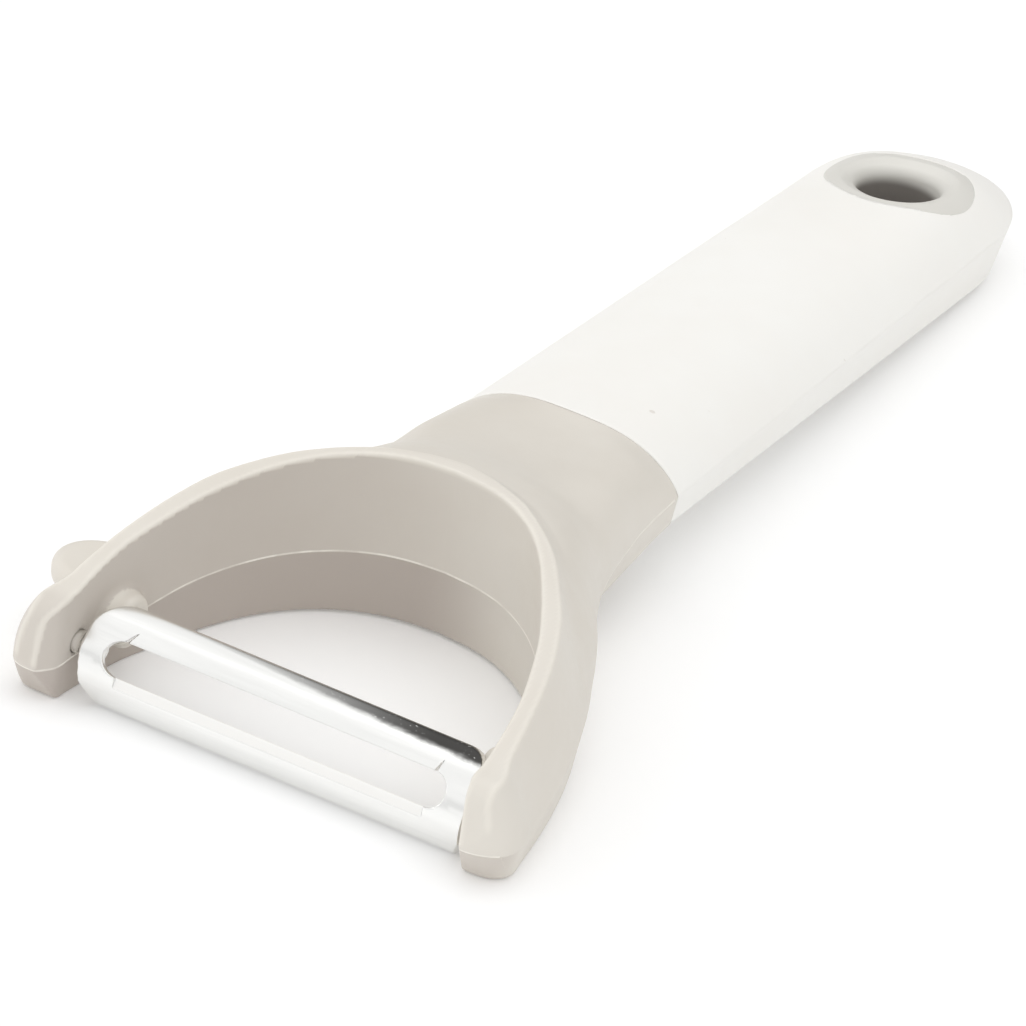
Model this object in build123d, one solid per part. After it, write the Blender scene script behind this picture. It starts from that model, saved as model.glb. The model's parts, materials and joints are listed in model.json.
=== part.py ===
from build123d import *
import math
import os

# A Y-shaped vegetable peeler: a plastic yoke carries a swivelling slotted blade, and its neck
# holds a stiff tang inside a soft handle with a hanging eyelet at the far end.
# The head is drawn from the middle of its parting plane: X runs across, Y towards the handle's
# end and Z up. At the end everything is tipped so that the underside lies on Z = 0.

# Yoke, at the parting plane
arm_gap_half = 26.3
bow_reach = 38.8
tip_reach = 7.0
arm_outer_half = 32.7
bow_outer_reach = 44.9
arm_tip_width = 5.8
tip_flare = 0.6

# Yoke, in height
rim_height_tip = 5.6
rim_height_pivot = 6.9
rim_height_back = 13.9
base_depth = 6.7
underside_slope = 2.9
tip_under_length = 4.0
tip_under_rise = 3.4
tip_front_round = 1.2
sole_flat = 0.12
wall_lean = 3.6
lean_bulge_share = 1.2
under_lean = 1.7
opening_draft = 0.4
rim_round = 0.7

# Pivots and stops
pivot_setback = 0.9
pivot_drop = 0.1
trunnion_radius = 1.4
trunnion_clearance = 0.08
trunnion_reach = 3.2
bore_end_gap = 0.5
stop_radius = 3.3
stop_setback = 7.0
stop_reach = 3.4
stop_round = 1.0

# Eye remover lobe on the left arm
lobe_reach = 4.4
lobe_half_length = 5.5
lobe_middle = 14.4
lobe_thickness = 3.4
lobe_round = 1.3

# Blade
blade_end_gap = 1.1
blade_side_play = 0.25
blade_shoulder_inset = 1.3
blade_front_inset = 2.5
blade_chord = 11.9
blade_bend_radius = 6.6
blade_thickness = 0.9
crest_height = 1.9
blade_corner_radius = 3.6
blade_front_chamfer = 1.3
slot_end_web = 2.8
slot_width = 4.2
notch_width = 0.35
notch_depth = 1.3
bevel_width = 1.5
bevel_depth = 0.5
blade_rest_turn = 33.0

# Neck and handle outline
joint_setback = 67.7
joint_height = 1.6
handle_drop_angle = 6.2
handle_length = 107.4
handle_half_joint = 15.1
handle_half_end = 13.2
handle_crown = 5.5
handle_crown_end = 4.6
side_depth_joint = 4.2
side_depth_end = 7.9
side_inset_joint = 0.5
side_inset_end = 1.0
under_crown = 0.5
handle_edge_round = 0.5

# Tang inside the handle
tang_half_joint = 9.6
tang_half_end = 8.8
tang_thickness = 4.0
tang_middle_height = -0.4
tang_root = 9.0
tang_window_count = 3
tang_window_length = 14.0
tang_window_width = 7.0
tang_web = 6.0
fit_gap = 0.05

# Hanging eyelet
eyelet_end_margin = 19.2
eyelet_radius = 9.45
eyelet_bore_radius = 5.2
eyelet_barrel_radius = 6.7
eyelet_flange = 1.3
eyelet_dish_height = 3.1
eyelet_land = 0.6
eyelet_under_radius = 8.6
eyelet_under_recess = 0.5

# Room that a cut runs past what it cuts
overrun = 4.0

# Outline of the yoke's right half: shares of its outer half width and of its outer reach
outer_shares = [
    (1.012, -0.20), (1.009, -0.11), (0.997, 0.00), (0.976, 0.123), (0.933, 0.292), (0.884, 0.431),
    (0.820, 0.562), (0.731, 0.674), (0.624, 0.777), (0.502, 0.857), (0.306, 0.944), (0.138, 0.986),
    (0.0, 1.0),
]
# Outline of the opening's right half: shares of its half width and of its reach
opening_shares = [
    (1.0, 0.0), (0.962, 0.21), (0.906, 0.365), (0.831, 0.53), (0.737, 0.675),
    (0.625, 0.79), (0.485, 0.885), (0.325, 0.953), (0.170, 0.987), (0.0, 1.0),
]
# Heights of the rim along the arm: shares of the bow's reach and of the rise from pivot to back
rim_shares = [(0.0, 0.0), (0.13, 0.21), (0.26, 0.385), (0.515, 0.65), (0.77, 0.86), (1.0, 1.0)]
# Neck sections: share of the way from the bow to the joint, half width and what the underside is
# narrower on each side as shares of the joint's half width, top height as a share of the rim's,
# depth as a share of the base's, squareness and roundness
neck_shares = [
    (-0.50, 1.42, 0.33, 0.74, 1.45, 4.0, 2.0),
    (0.00, 1.33, 0.33, 0.94, 1.60, 4.0, 2.0),
    (0.17, 1.19, 0.24, 0.87, 1.45, 4.2, 2.0),
    (0.40, 1.05, 0.11, 0.71, 1.00, 4.6, 1.9),
    (0.66, 0.975, 0.04, 0.58, 0.66, 4.0, 1.6),
    (0.88, 0.97, 0.033, 0.53, 0.56, 3.0, 1.35),
]
# Places across a crowned section where its outline is set, as shares of the half width
crown_place_shares = [0.0, 0.25, 0.5, 0.7, 0.85, 0.95, 1.0]
handle_squareness = 2.4
handle_squareness_end = 6.0
handle_roundness = 1.2

# Worked out from the sizes above
blade_half_length = arm_gap_half - blade_end_gap
slot_half_length = blade_half_length - slot_end_web
eyelet_setback = handle_length - eyelet_end_margin
handle_frame = Plane(
    origin=(0, joint_setback, joint_height), x_dir=(1, 0, 0),
    z_dir=(0, math.sin(math.radians(handle_drop_angle)), math.cos(math.radians(handle_drop_angle))),
)
handle_straight = handle_length - handle_half_end
under_corner = handle_frame.from_local_coords(
    Vector(0, handle_length - side_inset_end - handle_edge_round, -side_depth_end))
toe = Vector(0, tip_under_length - tip_reach, 0)
toe.Z = -base_depth - toe.Y * math.tan(math.radians(underside_slope))
rest_tilt = math.degrees(math.atan2(toe.Z - under_corner.Z, under_corner.Y - toe.Y))
pivot = Vector(0, pivot_setback, -pivot_drop)


def rim_points():
    rise = rim_height_back - rim_height_pivot
    return [(bow_reach * along, rim_height_pivot + rise * up) for along, up in rim_shares]


def rim_height(y):
    points = [(-tip_reach, rim_height_tip)] + rim_points()
    for (y0, z0), (y1, z1) in zip(points, points[1:]):
        if y <= y1:
            return z0 + (z1 - z0) * max(y - y0, 0) / (y1 - y0)
    return rim_height_back


def closed_face(points, level):
    """A face whose round side is a smooth curve through points, closed by a straight front."""
    curve = Spline(*[(x, y, level) for x, y in points])
    front = Line(curve @ 1, curve @ 0)
    return Face(Wire([curve, front]))


def both_sides(right_points):
    left = [(-x, y) for x, y in right_points[:-1]]
    return left + right_points[::-1]


def leaned_outline(inward):
    """The yoke's outer outline, moved inward square to itself by inward(y) at each point."""
    points = both_sides([(arm_outer_half * a, bow_outer_reach * b) for a, b in outer_shares])
    moved = []
    for i, (x, y) in enumerate(points):
        x0, y0 = points[max(i - 1, 0)]
        x1, y1 = points[min(i + 1, len(points) - 1)]
        length = math.hypot(x1 - x0, y1 - y0)
        step = inward(y) / length
        moved.append((x + (y1 - y0) * step, y - (x1 - x0) * step))
    return moved


def upper_outline(level):
    return leaned_outline(lambda y: wall_lean * (level / rim_height(y)) ** lean_bulge_share)


def yoke_blank():
    """The whole head before its opening is cut: leaned walls above and below the parting plane."""
    top = rim_height_back + rim_round
    upper = loft([closed_face(upper_outline(level), level) for level in (0, top / 2, top)])
    depth = base_depth + bow_outer_reach * math.tan(math.radians(underside_slope))
    lower = loft([
        closed_face(upper_outline(0), 0),
        closed_face(leaned_outline(lambda y: under_lean), -depth),
    ], ruled=True)
    return upper + lower


def crowned_face(plane, half, crown, depth, inset, squareness, roundness):
    """A handle-like section: crowned top, creased sides that lean inward, and a full underside."""
    def height(share):
        return crown * (1 - share ** squareness) ** (1 / roundness)
    right = [(half * s, height(s)) for s in crown_place_shares]
    corner = (half - inset, -depth)
    top = Spline(*([(-x, z) for x, z in right[:0:-1]] + right))
    side = Line(top @ 1, corner)
    under = ThreePointArc(corner, (0, -depth - under_crown), (-corner[0], corner[1]))
    return plane.location * Face(Wire([top, side, under, Line(under @ 1, top @ 0)]))


def cross_plane(y, height):
    return Plane(origin=(0, y, height), x_dir=(1, 0, 0), z_dir=(0, -1, 0))


def joint_face():
    plane = Plane(origin=handle_frame.origin, x_dir=(1, 0, 0), z_dir=-handle_frame.y_dir)
    return crowned_face(plane, handle_half_joint, handle_crown, side_depth_joint,
                        side_inset_joint, handle_squareness, handle_roundness)


def neck():
    """The saddle from the bow to the handle: it ends in the handle's own section."""
    run = joint_setback - bow_reach
    faces = []
    for along, width, narrower, top, under, squareness, roundness in neck_shares:
        crease = joint_height * max(along, 0)
        faces.append(crowned_face(
            cross_plane(bow_reach + run * along, crease), handle_half_joint * width,
            rim_height_back * top - crease, base_depth * under + crease,
            handle_half_joint * narrower, squareness, roundness))
    return loft(faces + [joint_face()])


def side_profile():
    """The head seen from its side: a rim that rises to the back, and rounded tips."""
    rim = Spline(
        (-tip_reach, 0), (-tip_reach / 2, (rim_height_tip + rim_height_pivot) / 2), *rim_points(),
        tangents=[(0, 1), (1, 0)], tangent_scalars=[1, 0.5])
    far = joint_setback + overrun
    drop = math.tan(math.radians(underside_slope))
    rim_end = rim @ 1
    under_end = -base_depth - far * drop
    points = [(rim_end.X, rim_end.Y), (far, rim_end.Y), (far, under_end), (toe.Y, toe.Z)]
    front = Vector(-tip_reach, toe.Z + tip_under_rise + tip_front_round)
    under = Spline((toe.Y, toe.Z), front, tangents=[(-1, 0), (0, 1)])
    edges = [rim] + [Line(a, b) for a, b in zip(points, points[1:])] + [under, Line(front, rim @ 0)]
    face = Plane.YZ.location * Face(Wire(edges))
    return extrude(face, amount=arm_outer_half + lobe_reach + overrun, both=True)


def tip_mask():
    """Seen from above, each arm ends in a round tip."""
    round_radius = arm_tip_width / 2
    front = round_radius - tip_reach
    height = rim_height_back + overrun
    mask = Pos(0, front + joint_setback) * Box(
        2 * arm_outer_half + 2 * overrun, 2 * joint_setback, 2 * height)
    for side in (-1, 1):
        middle = side * (arm_gap_half + tip_flare + round_radius)
        mask += Pos(middle, front) * Cylinder(round_radius, 2 * height)
    return mask


def opening_outline(grow):
    flare = tip_flare * (tip_reach + overrun) / tip_reach
    points = [(arm_gap_half + flare + grow, -tip_reach - overrun)]
    points += [((arm_gap_half + grow) * a, (bow_reach + grow) * b) for a, b in opening_shares]
    return both_sides(points)


def opening():
    """The U-shaped gap between the arms, a little wider at the rim and at the underside."""
    top = rim_height_back + overrun
    deep = base_depth + bow_outer_reach * math.tan(math.radians(underside_slope)) + overrun
    middle = closed_face(opening_outline(0), 0)
    upper = loft([middle, closed_face(opening_outline(opening_draft), top)], ruled=True)
    lower = loft([middle, closed_face(opening_outline(opening_draft), -deep)], ruled=True)
    return upper + lower


def stop_boss(side):
    """A round boss behind the blade on an arm's inner face, which ends the blade's swing."""
    wall = arm_gap_half + tip_flare
    reach = wall - arm_gap_half + stop_reach
    boss = Rot(0, 90, 0) * Cylinder(stop_radius, reach)
    inner = boss.edges().filter_by(GeomType.CIRCLE).sort_by(Axis.X)[0 if side > 0 else -1]
    boss = fillet(inner, stop_round)
    return Pos(side * (wall - reach / 2), pivot_setback + stop_setback, -pivot_drop) * boss


def lobe():
    plate = extrude(Ellipse(lobe_reach + arm_tip_width / 2, lobe_half_length),
                    amount=lobe_thickness / 2, both=True)
    plate = fillet(plate.edges().filter_by(Plane.XY), lobe_round)
    return Pos(-arm_outer_half + arm_tip_width / 2, lobe_middle) * plate


def pivot_bores():
    reach = arm_gap_half + trunnion_reach + bore_end_gap
    return Pos(pivot) * Rot(0, 90, 0) * Cylinder(trunnion_radius + trunnion_clearance, 2 * reach)


def yoke():
    body = yoke_blank() + neck()
    body = body & side_profile()
    body = body & tip_mask()
    body -= opening()
    body += lobe()
    for side in (-1, 1):
        body += stop_boss(side)
    body -= pivot_bores()
    body -= handle_frame.location * tang(fit_gap)
    return body


def blade_section_face(outer_radius, thickness, half_angle):
    """The bent strip's section in its own plane, crest towards -X of that plane."""
    inner_radius = outer_radius - thickness
    def arc(radius, angles):
        return ThreePointArc(*[
            (-radius * math.cos(math.radians(a)), radius * math.sin(math.radians(a))) for a in angles])
    outer = arc(outer_radius, (-half_angle, 0, half_angle))
    inner = arc(inner_radius, (half_angle, 0, -half_angle))
    return Face(Wire([outer, Line(outer @ 1, inner @ 0), inner, Line(inner @ 1, outer @ 0)]))


def blade_plan():
    """The blade seen square to its crest: round rear corners and chamfered front corners."""
    half = blade_chord / 2
    right = [
        (blade_half_length - blade_front_inset, -half),
        (blade_half_length - blade_shoulder_inset, -half + blade_front_chamfer),
        (blade_half_length, 0),
        (blade_half_length, half),
    ]
    outline = Polyline(*(right + [(-x, y) for x, y in right[::-1]] + [right[0]]))
    face = Face(Wire(outline.edges()))
    rear = face.vertices().sort_by(Axis.Y)[-2:]
    return face.fillet_2d(blade_corner_radius, rear)


def lip_bevel():
    """What is ground off the front strip's outer face along the slot."""
    slot_angle = math.asin(slot_width / 2 / blade_bend_radius)
    far_angle = slot_angle + bevel_width / blade_bend_radius
    far = Vector(-math.cos(far_angle), -math.sin(far_angle)) * blade_bend_radius
    lip = Vector(-math.cos(slot_angle), -math.sin(slot_angle)) * (blade_bend_radius - bevel_depth)
    along = (lip - far).normalized()
    outward = Vector(0, -along.Y, along.X)
    centre = Vector(0, blade_bend_radius - crest_height, 0)
    facet = Plane(origin=centre + Vector(0, far.X, far.Y), x_dir=(1, 0, 0), z_dir=outward)
    length = 2 * slot_half_length - slot_width
    block = Pos(0, 0, blade_thickness) * Box(
        length, 2 * bevel_width + slot_width, 2 * blade_thickness)
    return facet.location * block


def blade():
    """A stamped strip bent about its length, slotted, with a round trunnion at each end."""
    half_angle = math.degrees(math.asin(blade_chord / 2 / blade_bend_radius))
    face = Plane.YZ.location * blade_section_face(blade_bend_radius, blade_thickness, half_angle)
    strip = extrude(face, amount=blade_half_length, both=True)
    strip = Pos(0, blade_bend_radius - crest_height, 0) * strip
    look = Plane(origin=(0, 0, 0), x_dir=(1, 0, 0), z_dir=(0, -1, 0))
    strip = strip & extrude(look.location * blade_plan(), amount=blade_chord, both=True)
    slot = SlotOverall(2 * slot_half_length, slot_width)
    notch = Rectangle(notch_width, notch_depth)
    for side in (-1, 1):
        slot += Pos(side * (slot_half_length - slot_width / 2), (slot_width + notch_depth) / 2) * notch
    strip -= extrude(look.location * slot, amount=blade_chord, both=True)
    strip -= lip_bevel()
    trunnion_end = arm_gap_half + trunnion_reach
    trunnion = Rot(0, 90, 0) * Cylinder(trunnion_radius, trunnion_end - slot_half_length)
    middle = (trunnion_end + slot_half_length) / 2
    for side in (-1, 1):
        strip += Pos(side * middle, 0, 0) * trunnion
    return Pos(pivot) * Pos(blade_side_play, 0, 0) * Rot(-blade_rest_turn, 0, 0) * strip


def handle_blank():
    """The handle's outer form in its own frame: tapered, crowned and round at the far end."""
    near = Plane(origin=(0, 0, 0), x_dir=(1, 0, 0), z_dir=(0, -1, 0))
    far = Plane(origin=(0, handle_straight, 0), x_dir=(1, 0, 0), z_dir=(0, -1, 0))
    near_face = crowned_face(near, handle_half_joint, handle_crown, side_depth_joint,
                             side_inset_joint, handle_squareness, handle_roundness)
    far_face = crowned_face(far, handle_half_end, handle_crown_end, side_depth_end,
                            side_inset_end, handle_squareness_end, handle_roundness)
    straight = loft([near_face, far_face])
    half_space = Pos(handle_length / 2, handle_straight, 0) * Box(
        handle_length, handle_length, handle_length)
    half_face = (far_face & half_space)
    end = revolve(half_face, Axis((0, handle_straight, 0), (0, 0, 1)), 180)
    return straight + end


def tang(grow):
    """The stiff core: a tapered bar with windows, round about the eyelet."""
    low = tang_middle_height - tang_thickness / 2 - grow
    thick = tang_thickness + 2 * grow
    near, far = tang_half_joint + grow, tang_half_end + grow
    outline = Polyline(
        (-near, -tang_root - grow), (near, -tang_root - grow),
        (far, eyelet_setback), (-far, eyelet_setback), (-near, -tang_root - grow))
    bar = extrude(Face(Wire(outline.edges())), amount=thick)
    bar += Pos(0, eyelet_setback, thick / 2) * Cylinder(far, thick)
    pitch = (eyelet_setback - tang_half_end - tang_web) / tang_window_count
    for i in range(tang_window_count):
        window = SlotOverall(
            tang_window_length - 2 * grow, tang_window_width - 2 * grow, rotation=90)
        bar -= Pos(0, pitch * (i + 0.5)) * extrude(window, amount=thick)
    bar -= Pos(0, eyelet_setback, thick / 2) * Cylinder(eyelet_barrel_radius + fit_gap - grow, thick)
    return Pos(0, 0, low) * bar


def eyelet_blank(grow, low):
    """The eyelet's outer form: a barrel with a wide flange above and a narrower one below."""
    high = handle_crown + overrun
    barrel = Cylinder(eyelet_barrel_radius + grow, high - low)
    upper_base = eyelet_dish_height - eyelet_flange - grow
    flange = Cylinder(eyelet_radius + grow, high - upper_base)
    lower_top = eyelet_flange - side_depth_end + grow
    under = Cylinder(eyelet_under_radius + grow, lower_top - low)
    body = Pos(0, 0, (high + low) / 2) * barrel
    body += Pos(0, 0, (high + upper_base) / 2) * flange
    body += Pos(0, 0, (lower_top + low) / 2) * under
    return Pos(0, eyelet_setback, 0) * body


def eyelet_dish():
    """What is hollowed from the eyelet's top: a shallow dish that falls to the bore."""
    run = eyelet_radius - eyelet_land - eyelet_bore_radius
    top = eyelet_dish_height + 2 * (handle_crown_end - eyelet_dish_height)
    profile = Polyline(
        (0, eyelet_dish_height), (eyelet_bore_radius, eyelet_dish_height),
        (eyelet_bore_radius + 2 * run, top), (0, top), (0, eyelet_dish_height))
    face = Plane.XZ.location * Face(Wire(profile.edges()))
    return Pos(0, eyelet_setback, 0) * revolve(face, Axis.Z, 360)


def hanging_eyelet(outer):
    body = eyelet_blank(0, eyelet_under_recess - side_depth_end) & outer
    body -= eyelet_dish()
    body -= Pos(0, eyelet_setback, 0) * Cylinder(
        eyelet_bore_radius, 2 * (side_depth_end + handle_crown + overrun))
    return body


def handle_sleeve(outer):
    body = outer - tang(fit_gap)
    return body - eyelet_blank(fit_gap, -side_depth_end - overrun)


def floor_cut(body):
    """Trims what would reach below the plane that the peeler lies on."""
    size = 2 * (handle_length + joint_setback + tip_reach)
    block = Pos(0, 0, -size / 2) * Box(size, size, size)
    return body - Pos(toe) * Rot(-rest_tilt, 0, 0) * Pos(0, 0, sole_flat) * block


def build():
    outer = handle_blank()
    place = handle_frame.location
    return {
        "yoke": floor_cut(yoke()),
        "blade": blade(),
        "handle_tang": place * tang(0),
        "handle_sleeve": floor_cut(place * handle_sleeve(outer)),
        "hanging_eyelet": place * hanging_eyelet(outer),
    }


def rest_on_floor(parts):
    """Tips the peeler onto its underside and puts the origin below the middle of its box."""
    tipped = {name: Rot(rest_tilt, 0, 0) * part for name, part in parts.items()}
    box = Compound(children=[Compound(part.solids()) for part in tipped.values()]).bounding_box()
    shift = Pos(-box.center().X, -box.center().Y, -box.min.Z)
    return {name: shift * part for name, part in tipped.items()}, shift


if __name__ == "__main__":
    os.makedirs("parts", exist_ok=True)
    placed, shift = rest_on_floor(build())
    for name, part in placed.items():
        export_step(part, "parts/" + name + ".step")
        box = part.bounding_box()
        print(name, len(part.solids()), round(part.volume), box.min, box.max)
    print("pivot", shift * Rot(rest_tilt, 0, 0) * Pos(pivot), "tilt", rest_tilt)
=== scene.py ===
import json
import math
from types import SimpleNamespace

import bpy
import numpy as np
from mathutils import Matrix, Vector


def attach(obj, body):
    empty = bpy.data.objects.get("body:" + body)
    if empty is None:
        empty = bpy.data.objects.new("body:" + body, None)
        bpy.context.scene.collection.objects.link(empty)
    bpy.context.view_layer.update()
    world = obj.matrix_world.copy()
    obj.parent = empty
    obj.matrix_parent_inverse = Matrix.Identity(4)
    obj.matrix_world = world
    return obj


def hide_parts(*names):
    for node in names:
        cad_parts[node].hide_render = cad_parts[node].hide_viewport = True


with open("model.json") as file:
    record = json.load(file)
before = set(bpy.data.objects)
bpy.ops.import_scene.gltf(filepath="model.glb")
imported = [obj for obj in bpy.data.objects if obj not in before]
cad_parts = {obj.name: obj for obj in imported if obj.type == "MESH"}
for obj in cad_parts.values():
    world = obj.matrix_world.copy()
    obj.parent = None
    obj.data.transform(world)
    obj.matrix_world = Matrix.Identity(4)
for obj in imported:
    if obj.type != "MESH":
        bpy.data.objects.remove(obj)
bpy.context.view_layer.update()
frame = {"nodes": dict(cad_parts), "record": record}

bl_info = {
    "name": "Vegetable peeler",
    "version": (1, 0, 0),
    "blender": (4, 5, 0),
    "location": "3D View > Sidebar > Peeler",
    "description": "Dresses the peeler's frame with moulded, stamped and soft surfaces",
    "category": "Object",
}

# Outlines in millimetres, seen from above: X across from the middle, Y towards the handle's end
OUTER_OUTLINE = [
    (27.5, -9.0), (29.3, -7.1), (30.4, -5.9), (31.15, -5.0), (31.75, -4.1), (32.3, -3.0), (32.65, -1.6),
    (32.7, 0.2), (32.3, 2.5), (31.55, 7.3), (30.4, 13.1), (28.78, 19.3), (26.68, 25.2), (23.78, 30.2),
    (20.3, 34.7), (16.3, 38.3), (12.7, 40.8), (10.0, 42.2), (4.5, 44.0), (0.0, 44.7),
]
OPENING_OUTLINE = [
    (33.0, -10.5), (29.4, -8.0), (28.0, -5.9), (27.5, -4.9), (27.0, -4.0), (26.6, -3.0), (26.4, -1.8),
    (26.3, 0.0), (25.4, 8.0), (23.8, 14.3), (21.85, 20.6), (19.4, 26.2), (16.5, 30.7), (12.8, 34.4),
    (8.6, 37.0), (4.5, 38.3), (0.0, 38.8),
]
# Heights of the rim's top along Y
RIM_PROFILE = [
    (-12.0, 6.4), (-6.5, 6.55), (-4.0, 6.7), (0.0, 7.0), (5.0, 8.35), (10.1, 9.6), (20.0, 11.45),
    (30.0, 12.9), (38.8, 13.8), (46.0, 13.9),
]
# The neck along Y: crown height, half width at the crease, underside height, half width there,
# squareness and roundness of the crown
NECK_PROFILE = [
    (20.0, 10.0, 26.5, -12.0, 20.0, 4.4, 2.0),
    (30.0, 12.0, 24.2, -11.6, 17.0, 4.4, 2.0),
    (35.0, 12.7, 22.3, -11.0, 15.0, 3.4, 2.0),
    (39.9, 13.0, 19.5, -10.2, 13.2, 3.1, 2.0),
    (44.6, 12.0, 17.4, -8.8, 12.2, 3.1, 2.0),
    (47.9, 10.9, 16.4, -7.8, 12.4, 3.3, 1.95),
    (51.0, 9.9, 15.8, -6.7, 13.0, 4.4, 1.9),
    (55.0, 8.95, 15.3, -5.3, 13.6, 6.0, 1.8),
    (59.0, 8.2, 14.9, -4.1, 14.1, 6.4, 1.6),
    (63.5, 7.5, 14.9, -3.2, 14.4, 5.4, 1.35),
    (67.7, 7.1, 15.1, -2.6, 14.7, 3.0, 1.2),
    (72.0, 7.1, 15.1, -2.6, 14.7, 3.0, 1.2),
]

# The head's frame: where the blade turns, where the grip begins and how the grip drops
HANDLE_DROP = math.radians(6.2)
PIVOT = Vector((0, 0.9, -0.1))
JOINT = Vector((0, 67.7, 1.6))

# Parts of the head, in the head's own millimetres
UNDERSIDE_SLOPE = math.tan(math.radians(2.9))
SHOULDER_MIDDLE, SHOULDER_REACH = 28.0, 9.0
STOP_MIDDLE = (7.9, -0.1)
STOP_START, STOP_END = 22.9, 28.0
LOBE_MIDDLE = (-29.8, 13.5)
LOBE_HALF = (7.3, 5.5)
LOBE_HEIGHT, LOBE_HALF_THICKNESS, LOBE_ROUND = 0.2, 1.7, 1.4
PARTING_DIP, DIP_MIDDLE, DIP_REACH = 1.75, 13.0, 3.0
CREASE_START = 42.0
NECK_START = 26.0
FRONT_SLOPE, FRONT_HEIGHT = (0.994, 0.11), -1.7
TOE_SLOPE = (0.87, 0.49)
RIM_SLOPE = 0.97

# Where features of the head fade along Y, and how strong they are
LEAN_FADE, TIP_LEAN = (-8, 3), 0.35
DRAFT_FADE, SHOULDER_DRAFT = (-6, 4), 0.8
ASKEW_FADE = (3, 5.6)
BULGE_END, BULGE_POWER = 6, 2.2
EDGE_FADE = (0.1, 0.5)
PLAIN_WALL = (-4.5, 42)

# The blade's front corners: each point's distance from the end and from the front edge
RIGHT_CORNER = [(0.9, 0), (0.2, 1.2)]
LEFT_CORNER = [(0.4, 1.85), (2.4, 0)]
CORNER_START = -1.2
RIGHT_NOTCH_LEAN, LEFT_NOTCH_LEAN = 0.15, -0.55

# The hidden core, in the handle's own millimetres
CORE_HALF_WIDTH, CORE_HALF_HEIGHT, CORE_HEIGHT = 9.65, 2.05, -0.4
CORE_REACH, CORE_TAPER = 9.05, 0.0085

# Colours as they look on screen
TAUPE = [(225, 220, 211), (221, 215, 205)]
# Painted shade for the yoke's inner walls and tips, a painted highlight for its rim edges and a painted
# highlight for its parting line
TAUPE_SHADE, TAUPE_EDGE_HIGHLIGHT, TAUPE_SEAM_HIGHLIGHT = (186, 177, 169), (240, 235, 225), (253, 249, 240)
RING_GREY = [(224, 222, 216), (220, 218, 211)]
# The ring's shade colour is painted shade inside the eyelet's hole
RING_SHADE = (136, 131, 126)
CORE_TAUPE = [(214, 206, 195), (208, 199, 187)]
GRIP_WHITE = [(245, 243, 238), (247, 246, 242)]
GRIP_SPECK = (205, 196, 186)
STEEL = [(240, 240, 238), (247, 247, 245)]
# The steel's dark colour is a painted reflection along the blade's rear edge
STEEL_REFLECTION_DARK, STEEL_PIT, STEEL_GROUND = (46, 44, 42), (225, 225, 223), (252, 251, 248)

# The photograph's camera: yaw, pitch and roll in degrees, distance and aim in millimetres, and
# its middle's shift in pixels
CAMERA_TURN = (25.54, 33.40, 7.11)
CAMERA_DISTANCE, CAMERA_AIM = 936.66, 54.74
CAMERA_SHIFT = (0.89, -1.09)
PHOTO_SIDE = 1026

# Each soft light: name, place, aim, width and height in metres, power in watts
LIGHTS = [
    ("overhead", (0.15, 0.1, 0.9), (0, 0, 0), 0.9, 0.9, 1.2),
    ("left", (-0.7, -0.25, 0.22), (0.03, -0.08, 0.01), 0.5, 0.3, 0.35),
]
# Each grey part of the surround: axis and where it fades in along it, where it fades out in
# height, and its grey
SURROUND = [
    ("Y", (-0.75, -0.3, 1, 0), (0.1, 0.42), 0.82),
    ("X", (0.2, 0.7, 0, 1), (0.1, 0.5), 0.55),
    ("Y", (0.35, 0.75, 0, 1), (0.36, 0.6), 0.06),
]
FLOOR_HALF = 3.0


# Sizes


def length(name, description, millimetres):
    """A length, kept in metres as the scene is."""
    return bpy.props.FloatProperty(
        name=name, description=description, default=millimetres / 1000, unit="LENGTH", precision=5)


def number(name, description, value):
    """A plain number."""
    return bpy.props.FloatProperty(name=name, description=description, default=value)


def degrees(name, description, value):
    """An angle given in degrees."""
    return bpy.props.FloatProperty(
        name=name, description=description, default=math.radians(value), subtype="ANGLE")


class PEELER_YokeSizes(bpy.types.PropertyGroup):
    cell: length("Cell", "Spacing of the surface's points", 0.35)
    tip_reach: length("Tip reach", "From the middle of the head to the arm tips", 5.6)
    wall_lean: length("Wall lean", "How far the outer wall leans in at the rim", 3.6)
    shoulder_lean: length("Shoulder lean", "How much more it leans where the bow turns", 0.55)
    under_lean: length("Under lean", "How far the outer wall leans in at the underside", 1.0)
    upper_draft: length("Upper draft", "How far the opening widens at the rim", 0.35)
    lower_draft: length("Lower draft", "How far the opening widens at the underside", 0.1)
    base_depth: length("Base depth", "Underside below the parting plane, at the head's middle", 6.7)
    rim_round: length("Rim round", "Rounding of the rim's edges", 0.35)
    tip_round: length("Tip round", "Rounding from the rim down the front of the tips", 2.4)
    toe_start: length("Toe start", "Where the underside starts to rise to the tips", 2.7)
    saddle_round: length("Saddle round", "Rounding between the bow and the neck", 1.6)
    bore_radius: length("Bore radius", "Pivot bore in each arm", 1.48)
    bore_end: length("Bore end", "From the middle to the end of each pivot bore", 30.0)
    stop_radius: length("Stop radius", "Round stop behind the blade, on the left arm", 3.3)
    right_stop: length(
        "Right stop", "Radius of the stop on the right arm, where the blade lies nearer", 2.9)
    stop_fillet: length("Stop fillet", "Rounding between each stop and its arm", 1.3)
    askew: length("Askew", "How far the rim and the tips lie to one side", 0.5)
    left_toe_round: length("Left toe round", "Rounding of the left toe's outer corner", 1.3)
    right_toe_round: length("Right toe round", "Rounding of the right toe's outer corner", 3.0)


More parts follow.
